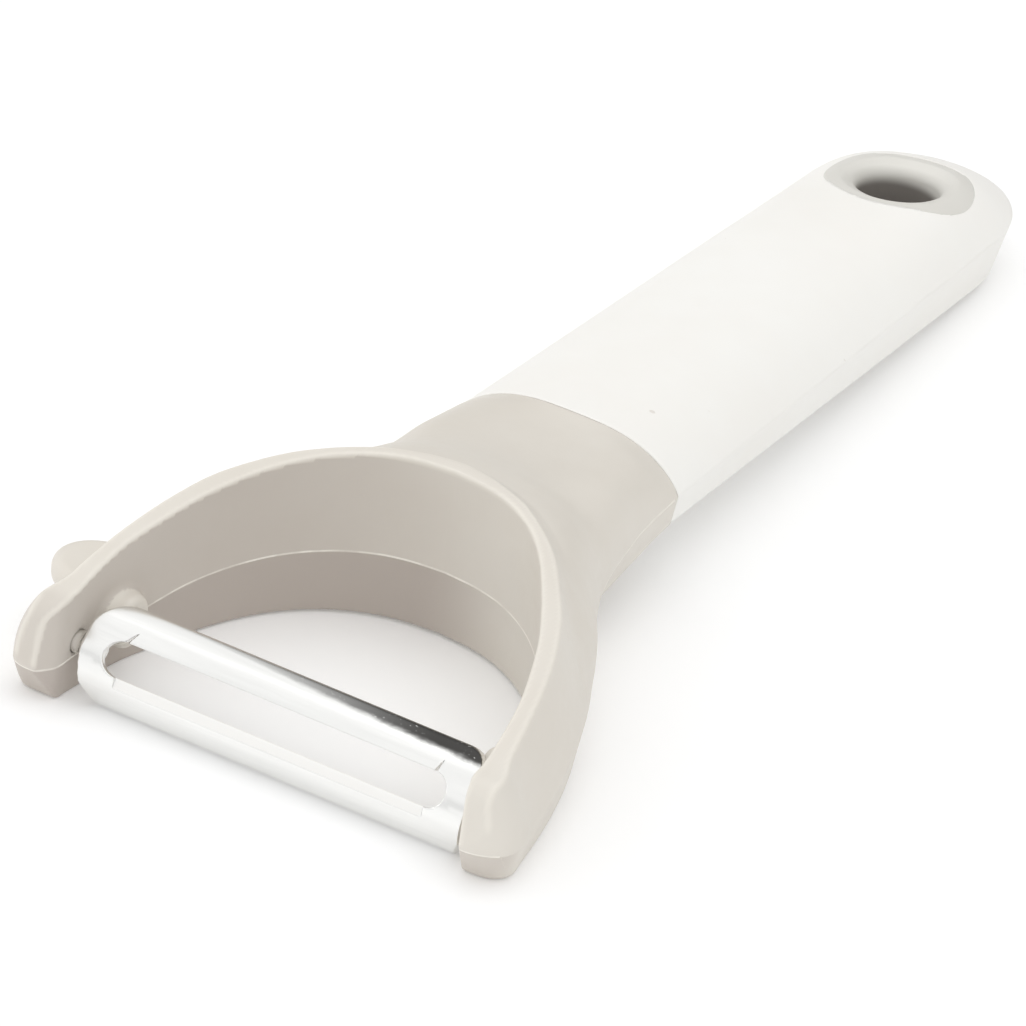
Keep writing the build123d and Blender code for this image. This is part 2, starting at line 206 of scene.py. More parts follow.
class PEELER_BladeSizes(bpy.types.PropertyGroup):
    cell: length("Cell", "Spacing of the surface's points", 0.16)
    half_length: length("Half length", "Half the blade's length without its trunnions", 25.2)
    side_play: length("Side play", "How far the blade lies to one side in its bores", 0.25)
    chord: length("Chord", "Width of the arched strip, front edge to rear edge", 11.9)
    bend_radius: length("Bend radius", "Outer radius of the arched strip", 6.6)
    thickness: length("Thickness", "Thickness of the steel", 0.9)
    crest: length("Crest", "Crest's height over the pivot axis", 1.9)
    slot_half: length("Slot half length", "Half the slot's length", 22.3)
    slot_width: length("Slot width", "Width of the slot", 4.2)
    trunnion_radius: length("Trunnion radius", "Radius of the trunnions", 1.4)
    corner_round: length("Corner round", "Rounding of the rear corners", 3.6)
    lip_length: length("Lip length", "Width of the ground lip beside the slot", 1.5)
    notch_middle: length("Notch middle", "From the slot's middle to the middle of each notch", 2.6)
    notch_half: length("Notch half", "Half the length of each sheared notch", 0.85)
    notch_width: length("Notch width", "Half the width of each notch at the slot", 0.22)
    lip_depth: length("Lip depth", "Depth of the ground lip at the slot", 0.5)
    trunnion_end: length("Trunnion end", "From the middle to the end of each trunnion", 29.5)
    rest_turn: degrees("Rest turn", "How far the crest is turned up from straight ahead", 33.0)


class PEELER_HandleSizes(bpy.types.PropertyGroup):
    cell: length("Cell", "Spacing of the surface's points", 0.38)
    length_all: length("Length", "From the joint to the far end", 108.4)
    straight: length("Straight length", "From the joint to where the round end starts", 91.0)
    drift: length("Drift", "How far the far end lies to one side", 0.25)
    half_joint: length("Half width at the joint", "Half width at the joint", 15.1)
    half_end: length("Half width at the end", "Half width where the round end starts", 13.4)
    crown_joint: length("Crown at the joint", "Height of the crown over the crease, at the joint", 5.5)
    crown_end: length("Crown at the end", "Height of the crown over the crease, at the far end", 5.6)
    depth_joint: length("Depth at the joint", "Side below the crease at the joint", 4.2)
    depth_end: length("Depth at the end", "Side below the crease at the far end", 7.3)
    lean_joint: length("Lean at the joint", "How far the side leans in at its foot, at the joint", 0.5)
    lean_end: length("Lean at the end", "How far the side leans in at its foot, at the far end", 1.3)
    under_crown: length("Under crown", "Height of the underside's crown", 0.5)
    square_joint: number("Squareness at the joint", "2 for round shoulders, more for square ones", 3.0)
    square_end: number("Squareness at the end", "The same at the far end", 3.6)
    round_joint: number("Roundness at the joint", "1 for shoulders that meet the side in a line", 1.2)
    round_end: number("Roundness at the end", "The same at the far end", 0.98)
    fall_start: length("Fall start", "Where the crown starts to fall towards the far end", 88.0)
    lopside: number("Lopside", "How much the crown leans to the left at the far end", 0.09)
    fall_rate: number("Fall rate", "How fast the crown falls from there, per millimetre", 0.01)
    plan_power: number("Plan power", "2 for an elliptic end, more for a squarer one", 2.1)
    edge_round: length("Edge round", "Rounding of the lower edge", 0.7)


class PEELER_EyeletSizes(bpy.types.PropertyGroup):
    cell: length("Cell", "Spacing of the surface's points", 0.22)
    setback: length("Setback", "From the joint to the eyelet's middle", 88.2)
    radius: length("Radius", "Outer radius of the ring", 9.65)
    bore: length("Bore", "Radius of the hole", 5.4)
    dish_radius: length("Dish radius", "Where the ring starts to fall towards the hole", 7.8)
    lip_round: length("Lip round", "Rounding from the dish down into the hole", 0.9)
    dish_drop: length("Dish drop", "From the grip's crown down to the dish's rim", 0.15)
    proud: length("Proud", "How far the ring stands over the grip", 0.02)
    overlap: length("Overlap", "How far the grip reaches under the ring's edge", 0.3)
    recess: length("Recess", "From the grip's underside up to the ring's", 0.5)


class PEELER_StudioSettings(bpy.types.PropertyGroup):
    world: number("Surround", "Strength of the surround", 1.0)
    floor_glow: number("Floor glow", "Light that the floor gives off by itself", 0.1)
    focal: number("Focal length", "In pixels of the photograph's frame", 8000.0)


def in_mm(group):
    """The group's lengths in millimetres and its other values as they are."""
    values = {}
    for key, prop in group.bl_rna.properties.items():
        if prop.type == "FLOAT":
            value = getattr(group, key)
            values[key] = value * 1000 if prop.unit == "LENGTH" else value
    return SimpleNamespace(**values)


# Frames


def head_matrix():
    """From the head's own millimetres, parting plane at Z = 0, to the row frame in metres."""
    record = frame["record"]
    axis = next(m["axis"] for m in record["mounts"] if m["name"] == "hanging_hole")
    tilt = HANDLE_DROP - math.atan2(axis[1], axis[2])
    turn = Matrix.Rotation(tilt, 4, "X")
    pivot = Vector(record["behaviour"]["joints"][0]["pos_m"])
    shift = pivot - turn @ (PIVOT * 0.001)
    return Matrix.Translation(shift) @ turn @ Matrix.Scale(0.001, 4)


def handle_matrix():
    """From the handle's own millimetres, joint at Y = 0 and crease at Z = 0, to the row frame."""
    return head_matrix() @ Matrix.Translation(JOINT) @ Matrix.Rotation(-HANDLE_DROP, 4, "X")


# Fields: functions of X, Y and Z that are negative inside a solid and zero on its surface


def both(a, b, radius=0.0):
    """What two fields share, with the edge between them rounded by a radius or a field of radii."""
    if np.ndim(radius) == 0 and radius <= 0:
        return np.maximum(a, b)
    corner = np.hypot(np.maximum(a + radius, 0), np.maximum(b + radius, 0))
    return np.minimum(-radius, np.maximum(a, b)) + corner


def either(a, b, radius=0.0):
    """Two fields together, with the inner corner between them filled."""
    return -both(-a, -b, radius)


def smooth_step(value, start, end):
    """From 0 at start to 1 at end, level at both."""
    t = np.clip((value - start) / (end - start), 0, 1)
    return t * t * (3 - 2 * t)


def smooth_curve(points, per=10):
    """Points along a Catmull-Rom curve through points."""
    p = np.array([points[0]] + list(points) + [points[-1]], float)
    out = []
    for i in range(1, len(p) - 2):
        for t in np.linspace(0, 1, per, endpoint=False):
            a, b, c, d = p[i - 1:i + 3]
            out.append(0.5 * (2 * b + (c - a) * t + (2 * a - 5 * b + 4 * c - d) * t * t
                              + (3 * b - a - 3 * c + d) * t ** 3))
    out.append(p[-2])
    return np.array(out)


class Outline:
    """Signed distance to a closed outline in a plane, negative inside, kept on a fine grid."""

    def __init__(self, points, low, high, step=0.25):
        self.low, self.step = np.array(low, float), step
        n = [int((h - l) / step) + 2 for l, h in zip(low, high)]
        gx, gy = np.meshgrid(*[l + step * np.arange(k) for l, k in zip(low, n)], indexing="ij")
        nearest = np.full(gx.shape, 1e9)
        inside = np.zeros(gx.shape, bool)
        pts = np.asarray(points, float)
        for (ax, ay), (bx, by) in zip(pts, np.roll(pts, -1, axis=0)):
            ex, ey = bx - ax, by - ay
            size = ex * ex + ey * ey
            if size < 1e-12:
                continue
            t = np.clip(((gx - ax) * ex + (gy - ay) * ey) / size, 0, 1)
            nearest = np.minimum(nearest, (gx - ax - t * ex) ** 2 + (gy - ay - t * ey) ** 2)
            if ay != by:
                inside ^= ((ay > gy) != (by > gy)) & (gx < ax + (gy - ay) * ex / ey)
        self.grid = np.sqrt(nearest) * np.where(inside, -1, 1)

    def __call__(self, x, y):
        u = np.clip((x - self.low[0]) / self.step, 0, self.grid.shape[0] - 1.001)
        v = np.clip((y - self.low[1]) / self.step, 0, self.grid.shape[1] - 1.001)
        i, j = u.astype(int), v.astype(int)
        s, t = u - i, v - j
        g = self.grid
        return ((g[i, j] * (1 - s) + g[i + 1, j] * s) * (1 - t)
                + (g[i, j + 1] * (1 - s) + g[i + 1, j + 1] * s) * t)


def mirrored_outline(right):
    """A closed outline from the right half's points, front to back."""
    curve = smooth_curve(right)
    return np.vstack([curve, curve[::-1] * (-1, 1)])


def profile(points, column=1):
    """A smooth function of Y through a table's points."""
    curve = smooth_curve([(row[0], row[column]) for row in points])
    order = np.argsort(curve[:, 0])
    xs, ys = curve[order, 0], curve[order, 1]
    return lambda y: np.interp(y, xs, ys)


def gradient(field, p, step):
    """A field's slope at each point, from values one step either way."""
    cols = []
    for k in range(3):
        d = np.zeros(3)
        d[k] = step
        cols.append((field(*(p + d).T) - field(*(p - d).T)) / (2 * step))
    return np.array(cols).T


def unit(vectors):
    """The same directions at length one."""
    return vectors / np.maximum(np.linalg.norm(vectors, axis=1), 1e-9)[:, None]


def crossing_points(field, near, step, axis, value_near, value_far):
    """Where the surface crosses grid edges that start at near and run step along one axis."""
    low, high = np.zeros(len(near)), np.ones(len(near))
    a, b = value_near.copy(), value_far.copy()
    point = near.copy()
    for _ in range(3):
        share = low + (high - low) * a / (a - b)
        point[:, axis] = near[:, axis] + share * step
        value = field(*point.T)
        same = (value < 0) == (a < 0)
        low, a = np.where(same, share, low), np.where(same, value, a)
        high, b = np.where(same, high, share), np.where(same, b, value)
    share = low + (high - low) * a / np.where(a == b, 1, a - b)
    point[:, axis] = near[:, axis] + share * step
    return point


def surface_of(field, low, high, cell):
    """Points, outward normals and four-sided faces of the surface where field is zero.

    Each crossed cell of a grid gets one point, where the tangent planes at its crossings meet."""
    axes = [np.arange(l - cell, h + 2 * cell, cell) for l, h in zip(low, high)]
    value = field(*np.meshgrid(*axes, indexing="ij", sparse=True))
    cells = np.array(value.shape) - 1
    marks, loops = [], []
    for axis in range(3):
        first, second = [slice(None)] * 3, [slice(None)] * 3
        first[axis], second[axis] = slice(0, -1), slice(1, None)
        a, b = value[tuple(first)], value[tuple(second)]
        start = np.argwhere((a < 0) != (b < 0))
        others = [k for k in range(3) if k != axis]
        start = start[np.all((start[:, others] > 0) & (start[:, others] < cells[others]), axis=1)]
        at = tuple(start.T)
        near = np.array([axes[k][start[:, k]] for k in range(3)]).T
        marks.append(crossing_points(field, near, cell, axis, a[at], b[at]))
        ring = []
        for du, dv in ((0, 0), (1, 0), (1, 1), (0, 1)):
            corner = start.copy()
            corner[:, others[0]] -= du
            corner[:, others[1]] -= dv
            ring.append(np.ravel_multi_index(corner.T, cells))
        ring = np.array(ring).T
        starts_inside = a[at] < 0
        flip = starts_inside if axis == 1 else ~starts_inside
        ring[flip] = ring[flip][:, ::-1]
        loops.append(ring)
    loops, marks = np.vstack(loops), np.vstack(marks)
    used, faces = np.unique(loops, return_inverse=True)
    faces = faces.reshape(loops.shape)
    points = meeting_points(field, marks, faces, len(used), cell)
    corner = np.array(np.unravel_index(used, cells)).T
    floor_of_cell = np.array([axes[k][corner[:, k]] for k in range(3)]).T
    points = np.clip(points, floor_of_cell, floor_of_cell + cell)
    for _ in range(2):
        slope = gradient(field, points, cell * 0.1)
        size = np.maximum((slope ** 2).sum(1), 0.05)
        move = -(field(*points.T) / size)[:, None] * slope
        reach = np.linalg.norm(move, axis=1)[:, None]
        points = points + move * np.minimum(1, 0.3 * cell / np.maximum(reach, 1e-9))
    return points, unit(gradient(field, points, cell * 0.4)), faces


def meeting_points(field, marks, faces, count, cell):
    """For each cell, the point nearest to the tangent planes at its crossings."""
    normals = unit(gradient(field, marks, cell * 0.05))
    owner = faces.ravel()
    point, normal = np.repeat(marks, 4, axis=0), np.repeat(normals, 4, axis=0)

    def total(values):
        return np.bincount(owner, values, count)

    mean = np.array([total(point[:, k]) for k in range(3)]).T / total(None)[:, None]
    offset = (normal * (point - mean[owner])).sum(1)
    pull = np.array([total(normal[:, k] * offset) for k in range(3)]).T
    spread = np.array([[total(normal[:, i] * normal[:, j]) for j in range(3)] for i in range(3)])
    spread = spread.transpose(2, 0, 1) + 0.05 * np.eye(3)
    return mean + np.linalg.solve(spread, pull[..., None])[..., 0]


def new_piece(name, surface, matrix, body, node, material, marks=()):
    """A smooth closed mesh in the row frame that stands for a CAD node and rides on its body."""
    points, normals, faces = surface
    mesh = bpy.data.meshes.new(name)
    turn = np.array(matrix)
    placed = points @ turn[:3, :3].T + turn[:3, 3]
    mesh.from_pydata(placed.tolist(), [], faces.tolist())
    for key, values in marks:
        attribute = mesh.attributes.new(key, "FLOAT", "POINT")
        attribute.data.foreach_set("value", np.asarray(values, np.float32))
    mesh.shade_smooth()
    mesh.normals_split_custom_set_from_vertices(unit(normals @ turn[:3, :3].T).tolist())
    mesh.materials.append(material)
    piece = bpy.data.objects.new(name, mesh)
    bpy.context.scene.collection.objects.link(piece)
    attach(piece, body)
    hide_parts(node)
    return piece


def over_floor(matrix):
    """A field, in the matrix's own millimetres, that keeps what lies over the floor."""
    row = [value * 1000 for value in matrix[2]]
    return lambda x, y, z: -(row[0] * x + row[1] * y + row[2] * z + row[3])


def body_of_node(node):
    """The moving body that holds a CAD node."""
    for name, nodes in frame["record"]["behaviour"]["bodies"].items():
        if node in nodes:
            return name
    raise RuntimeError("no body holds " + node)


# Materials


class Nodes:
    """Short names for building a material's node tree."""

    def __init__(self, name):
        self.material = bpy.data.materials.new(name)
        self.material.use_nodes = True
        self.tree = self.material.node_tree
        self.shader = self.tree.nodes["Principled BSDF"]
        self.place = self.tree.nodes.new("ShaderNodeTexCoord").outputs["Object"]

    def add(self, kind, inputs=(), **settings):
        """A node whose inputs are linked where they get a socket and set where they get a value."""
        node = self.tree.nodes.new(kind)
        for key, value in settings.items():
            setattr(node, key, value)
        for key, value in dict(inputs).items():
            if isinstance(value, bpy.types.NodeSocket):
                self.tree.links.new(value, node.inputs[key])
            else:
                node.inputs[key].default_value = value
        return node

    def noise(self, scale, detail=2.0, rough=0.5, stretch=(1, 1, 1)):
        """Noise over the object's own coordinates."""
        place = self.add("ShaderNodeMapping", {"Vector": self.place, "Scale": stretch}).outputs[0]
        return self.add("ShaderNodeTexNoise", {
            "Vector": place, "Scale": scale, "Detail": detail, "Roughness": rough}).outputs["Fac"]

    def math(self, operation, a, b=0.0):
        return self.add("ShaderNodeMath", {0: a, 1: b}, operation=operation).outputs[0]

    def remap(self, value, a, b, c, d, soft=False):
        kind = "SMOOTHSTEP" if soft else "LINEAR"
        return self.add("ShaderNodeMapRange", {
            "Value": value, "From Min": a, "From Max": b, "To Min": c, "To Max": d},
            interpolation_type=kind).outputs[0]

    def mix(self, factor, a, b):
        node = self.add("ShaderNodeMix", data_type="RGBA")
        for socket, value in ((node.inputs[0], factor), (node.inputs[6], a), (node.inputs[7], b)):
            if isinstance(value, bpy.types.NodeSocket):
                self.tree.links.new(value, socket)
            else:
                socket.default_value = value
        return node.outputs[2]

    def attribute(self, name):
        return self.add("ShaderNodeAttribute", attribute_name=name).outputs["Fac"]

    def bump(self, height, strength, distance, normal=None):
        inputs = {"Height": height, "Strength": strength, "Distance": distance}
        if normal is not None:
            inputs["Normal"] = normal
        return self.add("ShaderNodeBump", inputs).outputs[0]

    def set(self, name, value):
        """Links or sets one of the shader's own sockets."""
        socket = self.shader.inputs[name]
        if isinstance(value, bpy.types.NodeSocket):
            self.tree.links.new(value, socket)
        else:
            socket.default_value = value


def shader_colour(colour):
    """A colour given as it looks on screen, from 0 to 255, as the shader wants it."""
    def linear(value):
        c = value / 255
        return c / 12.92 if c <= 0.04045 else ((c + 0.055) / 1.055) ** 2.4
    return tuple(linear(value) for value in colour) + (1.0,)


def moulded_plastic(name, colours, seam=None, shade=None, glint=None):
    """Satin moulded plastic: faint mottling between a light and a dark colour, and a fine grain.

    The other colours are the parting line's painted highlight, the painted shade marked as depth and the
    painted highlight on the marked edges."""
    light, dark = (shader_colour(colour) for colour in colours)
    n = Nodes(name)
    mottle = n.remap(n.noise(60, 3.0, 0.6), 0.3, 0.7, 0.0, 1.0)
    colour = n.mix(mottle, dark, light)
    normal = n.bump(n.noise(3200, 2.0, 0.6), 0.1, 0.00005)
    # Painted shade where the depth mark is set
    if shade:
        colour = n.mix(n.attribute("depth"), colour, shader_colour(shade))
    # Painted highlight along the marked edges
    if glint:
        colour = n.mix(n.math("MULTIPLY", n.attribute("edge"), 0.7), colour, shader_colour(glint))
    if seam:
        # The parting line: a real ridge made by the bump, and a lighter line that is a painted highlight on
        # it
        side = n.attribute("seam")
        line = n.remap(n.math("ABSOLUTE", side), 0.07, 0.19, 1.0, 0.0)
        wander = n.remap(n.noise(320, 2.0), 0.35, 0.6, 0.4, 1.0)
        line = n.math("MULTIPLY", line, wander)
        colour = n.mix(n.math("MULTIPLY", line, 0.95), colour, shader_colour(seam))
        normal = n.bump(line, 0.6, 0.00012, normal)
    n.set("Base Color", colour)
    n.set("Roughness", n.remap(n.noise(900, 2.0), 0.3, 0.7, 0.42, 0.52))
    n.set("Normal", normal)
    n.set("IOR", 1.47)
    return n.material


def soft_grip(name):
    """Soft matte white elastomer with faint handling marks, a few specks and a fine grain."""
    n = Nodes(name)
    mottle = n.remap(n.noise(45, 4.0, 0.6), 0.35, 0.7, 0.0, 1.0)
    colour = n.mix(mottle, *(shader_colour(white) for white in GRIP_WHITE))
    specks = n.remap(n.noise(520, 0.0), 0.885, 0.9, 0.0, 0.45)
    colour = n.mix(specks, colour, shader_colour(GRIP_SPECK))
    n.set("Base Color", colour)
    n.set("Roughness", n.remap(n.noise(500, 3.0), 0.3, 0.7, 0.55, 0.68))
    n.set("Normal", n.bump(n.noise(2600, 2.0, 0.6), 0.12, 0.00006))
    n.set("IOR", 1.43)
    n.set("Sheen Weight", 0.05)
    return n.material


def polished_steel(name):
    """Polished stamped steel: fine lengthwise grain, a painted dark reflection along the rear edge with
    lighter pits in it, and a ground lip.
    """
    n = Nodes(name)
    streaks = n.noise(900, 3.0, 0.6, stretch=(0.05, 1, 1))
    edge = n.attribute("rear")
    along = n.attribute("along")
    ground = n.attribute("ground")
    base = n.mix(n.remap(streaks, 0.3, 0.7, 0.0, 1.0), *(shader_colour(grey) for grey in STEEL))
    # Painted reflection: a dark band along the rear edge that widens and darkens towards the right
    wide = n.remap(along, -0.5, 1.0, 0.35, 1.9)
    band = n.math("DIVIDE", edge, wide)
    wander = n.math("MULTIPLY", n.noise(700, 3.0, 0.7, stretch=(0.5, 1, 1)), 0.5)
    band = n.remap(n.math("ADD", band, wander), 0.85, 1.4, 1.0, 0.0, soft=True)
    shade = n.math("MULTIPLY", band, n.remap(along, -0.75, 0.75, 0.0, 1.0, soft=True))
    colour = n.mix(n.math("MULTIPLY", shade, 0.95), base, shader_colour(STEEL_REFLECTION_DARK))
    pits = n.remap(n.noise(2600, 1.0, 0.5), 0.70, 0.76, 0.0, 1.0)
    pits = n.math("MULTIPLY", pits, n.remap(shade, 0.05, 0.6, 0.0, 1.0))
    colour = n.mix(n.math("MULTIPLY", pits, 0.7), colour, shader_colour(STEEL_PIT))
    colour = n.mix(ground, colour, shader_colour(STEEL_GROUND))
    n.set("Base Color", colour)
    n.set("Metallic", 1.0)
    rough = n.remap(streaks, 0.3, 0.7, 0.18, 0.25)
    n.set("Roughness", n.math("ADD", rough, n.math("MULTIPLY", ground, 0.2)))
    normal = n.bump(streaks, 0.06, 0.00003)
    n.set("Normal", n.bump(pits, 0.2, 0.00004, normal))
    return n.material


# The yoke


def crowned(q, z, half, crown, squareness, roundness):
    """Distance-like field of a crowned section: q runs from its middle, z from its crease."""
    share = np.maximum(q, 0) / half
    up = np.maximum(z, 0) / crown
    value = share ** squareness + up ** roundness - 1
    steep = np.hypot(
        squareness * np.maximum(share, 1e-3) ** (squareness - 1) / half,
        np.where(z > 0, roundness * np.maximum(up, 1e-3) ** (roundness - 1) / crown, 0))
    return value / np.maximum(steep, 0.02)


def parting_height(y):
    """The mould's parting line: it dips towards the arm tips and rises to the handle's crease."""
    dip = PARTING_DIP / (1 + np.exp((y - DIP_MIDDLE) / DIP_REACH))
    return crease_height(y) - dip


def crease_height(y):
    """Height of the crease along the neck's sides."""
    return JOINT.z * np.clip((y - CREASE_START) / (JOINT.y - CREASE_START), 0, 1) ** 1.2


def neck_field():
    """The neck between the bow and the grip, from its table of sections."""
    crown, half, under, under_half, squareness, roundness = (
        profile(NECK_PROFILE, k) for k in range(1, 7))

    def field(x, y, z):
        crease = crease_height(y)
        q = np.abs(x)
        top = crowned(q, z - crease, half(y), crown(y) - crease, squareness(y), roundness(y))
        narrowing = (half(y) - under_half(y)) / (crease - under(y))
        side = (q - half(y) + narrowing * np.maximum(crease - z, 0)) / np.hypot(1, narrowing)
        neck = both(top, side)
        neck = both(neck, under(y) - z, 0.6)
        return both(neck, NECK_START - y)

    return field


def yoke_field(s, matrix):
    """The yoke, and its walls and rim by themselves, which also place its marks."""
    low, high = (-42, -20), (42, 80)
    outer = Outline(mirrored_outline(OUTER_OUTLINE), low, high)
    gap = Outline(mirrored_outline(OPENING_OUTLINE), low, high)
    rim = profile(RIM_PROFILE)
    neck = neck_field()
    grounded = over_floor(matrix)
    toe_depth = s.base_depth - s.toe_start * UNDERSIDE_SLOPE

    def underside(y):
        return -s.base_depth - y * UNDERSIDE_SLOPE

    def walls(x, y, z):
        """The outer wall, the opening's wall and the rim with the front of the tips."""
        top = rim(y)
        parting = parting_height(y)
        up = np.clip(z - parting, 0, None) / (top - parting)
        down = np.clip(parting - z, 0, None) / (parting - underside(y))
        upright = TIP_LEAN + (1 - TIP_LEAN) * smooth_step(y, *LEAN_FADE)
        shoulder = np.exp(-((y - SHOULDER_MIDDLE) / SHOULDER_REACH) ** 2)
        lean = s.wall_lean * upright + s.shoulder_lean * shoulder
        askew = s.askew * shoulder * up
        bulge = BULGE_POWER - smooth_step(y, -s.tip_reach, BULGE_END)
        outside = outer(x + askew, y) + lean * up ** bulge + s.under_lean * down
        askew = askew + s.askew * smooth_step(-y, *ASKEW_FADE)
        draft = s.upper_draft * smooth_step(y, *DRAFT_FADE) - SHOULDER_DRAFT * shoulder
        inside = -gap(x + askew, y) + draft * up + s.lower_draft * down
        front = (z - FRONT_HEIGHT) * FRONT_SLOPE[1] - (y + s.tip_reach) * FRONT_SLOPE[0]
        return outside, inside, both((z - top) * RIM_SLOPE, front, s.tip_round)

    def field(x, y, z):
        outside, inside, band = walls(x, y, z)
        toe = -(y + s.toe_start) * TOE_SLOPE[0] - (z + toe_depth) * TOE_SLOPE[1]
        toe_round = np.where(x > 0, s.right_toe_round, s.left_toe_round)
        body = both(both(outside, toe, toe_round), band, s.rim_round)
        body = either(body, neck(x, y, z), s.saddle_round)
        body = both(body, underside(y) - z, 0.8)
        body = both(body, y - JOINT.y - (z - JOINT.z) * math.tan(HANDLE_DROP), 0.1)
        body = either(body, lobe_field(x, y, z), 0.5)
        body = both(body, inside, s.rim_round)
        body = both(body, toe, 0.6)
        stop = np.hypot(y - STOP_MIDDLE[0], z - STOP_MIDDLE[1])
        stop = stop - np.where(x > 0, s.right_stop, s.stop_radius)
        stop = both(stop, STOP_START - np.abs(x), 1.0)
        stop = both(stop, np.abs(x) - STOP_END)
        body = either(body, stop, s.stop_fillet)
        bore = np.hypot(y - PIVOT.y, z - PIVOT.z) - s.bore_radius
        bore = both(bore, np.abs(x) - s.bore_end)
        body = both(body, -bore, 0.12)
        body = both(body, grounded(x, y, z), 0.3)
        return both(body, -tang_space(x, y, z))

    return field, walls


def lobe_field(x, y, z):
    """The eye remover: a thin round lobe on the left arm's outer side."""
    across, along = LOBE_HALF
    dx, dy = (x - LOBE_MIDDLE[0]) / across, (y - LOBE_MIDDLE[1]) / along
    reach = np.hypot(dx, dy)
    steep = np.hypot(dx / across, dy / along) / np.maximum(reach, 1e-3)
    plate = (reach - 1) / np.maximum(steep, 0.05)
    return both(plate, np.abs(z - LOBE_HEIGHT) - LOBE_HALF_THICKNESS, LOBE_ROUND)


def tang_space(x, y, z):
    """The pocket for the handle's core, in the head's own millimetres."""
    u = (y - JOINT.y) * math.cos(HANDLE_DROP) - (z - JOINT.z) * math.sin(HANDLE_DROP)
    v = (y - JOINT.y) * math.sin(HANDLE_DROP) + (z - JOINT.z) * math.cos(HANDLE_DROP)
    box = both(np.abs(x) - CORE_HALF_WIDTH, np.abs(v - CORE_HEIGHT) - CORE_HALF_HEIGHT)
    return both(box, -CORE_REACH - u)


class PEELER_OT_yoke(bpy.types.Operator):
    """Makes the moulded yoke with its arms, bow, neck, stops and eye remover"""
    bl_idname = "peeler.yoke"
    bl_label = "Make the yoke"

    def execute(self, context):
        s = in_mm(context.scene.peeler_yoke)
        matrix = head_matrix()
        field, walls = yoke_field(s, matrix)
        surface = surface_of(field, (-38, -7.5, -13), (34.5, 69, 15), s.cell)
        x, y, z = surface[0].T
        seam = z - parting_height(y)
        outside, inside, band = walls(x, y, z)
        # Painted highlight: a lighter line along the rim's inner and outer edges, kept as the edge mark
        near_edge = np.minimum(np.abs(outside), np.abs(inside)) + np.abs(band)
        edge = np.where(y < RIM_PROFILE[-1][0], 1 - smooth_step(near_edge, *EDGE_FADE), 0)
        # Painted shade: the inner walls are coloured darker below the parting line and towards the left,
        # and so are the upper-left inner wall and the arm tips; this mark is kept as depth
        inner_wall = np.abs(inside) < 0.5
        depth = np.where(inner_wall, smooth_step(-seam, -0.1, 0.1), 0)
        depth = depth * (0.05 + 0.95 * smooth_step(-x, -12, 4))
        upper_wall_shade = np.where(inner_wall & (np.abs(band) > 0.4), 0.6 * smooth_step(-x, -12, 22), 0)
        tip_shade = smooth_step(-y, 0, 3.5) * (0.5 * smooth_step(-seam, -0.1, 0.1) + 0.3 * (x < 0))
        depth = np.maximum(depth, np.maximum(upper_wall_shade, tip_shade))
        plain = (np.abs(outside) < 0.3) & (y > PLAIN_WALL[0]) & (y < PLAIN_WALL[1])
        seam[plain | (np.abs(y - JOINT.y) < 0.6)] = 5
        plastic = moulded_plastic("yoke_plastic", TAUPE, seam=TAUPE_SEAM_HIGHLIGHT, shade=TAUPE_SHADE,
                                  glint=TAUPE_EDGE_HIGHLIGHT)
        marks = [("seam", seam), ("edge", edge), ("depth", depth)]
        new_piece("moulded_yoke", surface, matrix, body_of_node("yoke"),
                  "yoke", plastic, marks)
        return {"FINISHED"}


# The blade


def blade_outline(s):
    """The blade's plan, square to its crest, with round rear corners and cut front corners."""
    half, chord, corner = s.half_length, s.chord / 2, s.corner_round
    arc = [(half - corner + corner * math.cos(a), chord - corner + corner * math.sin(a))
           for a in np.linspace(0, math.pi / 2, 12)]
    right = [(half - inward, up - chord) for inward, up in RIGHT_CORNER] + [(half, CORNER_START)]
    left = [(-half, CORNER_START)] + [(inward - half, up - chord) for inward, up in LEFT_CORNER]
    return right + arc + [(-x, y) for x, y in arc[::-1]] + left


def blade_field(s):
    """The blade about its pivot, its crest straight ahead: an arched strip with its cuts."""
    chord = s.chord / 2
    plan = Outline(blade_outline(s), (-28, -9), (28, 9), 0.1)
    centre = s.bend_radius - s.crest
    middle = s.bend_radius - s.thickness / 2
    slot_angle = math.asin(s.slot_width / 2 / s.bend_radius)
    far_angle = slot_angle + s.lip_length / s.bend_radius
    far = Vector((centre - s.bend_radius * math.cos(far_angle), -s.bend_radius * math.sin(far_angle)))
    inner = s.bend_radius - s.lip_depth
    lip = Vector((centre - inner * math.cos(slot_angle), -inner * math.sin(slot_angle)))
    way = (lip - far).normalized()
    out = Vector((-way.y, way.x))
    if out.x > 0:
        out = -out

    def field(x, y, z):
        shell = np.abs(np.hypot(y - centre, z) - middle) - s.thickness / 2
        shell = both(shell, y - centre + 0.5)
        body = both(shell, plan(x, z), 0.12)
        straight = s.slot_half - s.slot_width / 2
        slot = np.hypot(np.maximum(np.abs(x) - straight, 0), z) - s.slot_width / 2
        body = both(body, -slot, 0.12)
        lean = (z - s.slot_width / 2) * np.where(x > 0, RIGHT_NOTCH_LEAN, LEFT_NOTCH_LEAN)
        narrow = s.notch_width - 0.12 * (z - 2.0)
        notch = both(np.abs(np.abs(x) - straight - lean) - narrow,
                     np.abs(z - s.notch_middle) - s.notch_half)
        body = both(body, -notch)
        facet = out.x * (y - far.x) + out.y * (z - far.y)
        ground = both(both(-facet, np.abs(x) - straight), z)
        body = both(body, -ground, 0.05)
        trunnion = np.hypot(y, z) - s.trunnion_radius
        trunnion = both(trunnion, s.slot_half + 0.6 - np.abs(x), 0.8)
        trunnion = both(trunnion, np.abs(x) - s.trunnion_end, 0.3)
        return either(body, trunnion, 0.9)

    return field


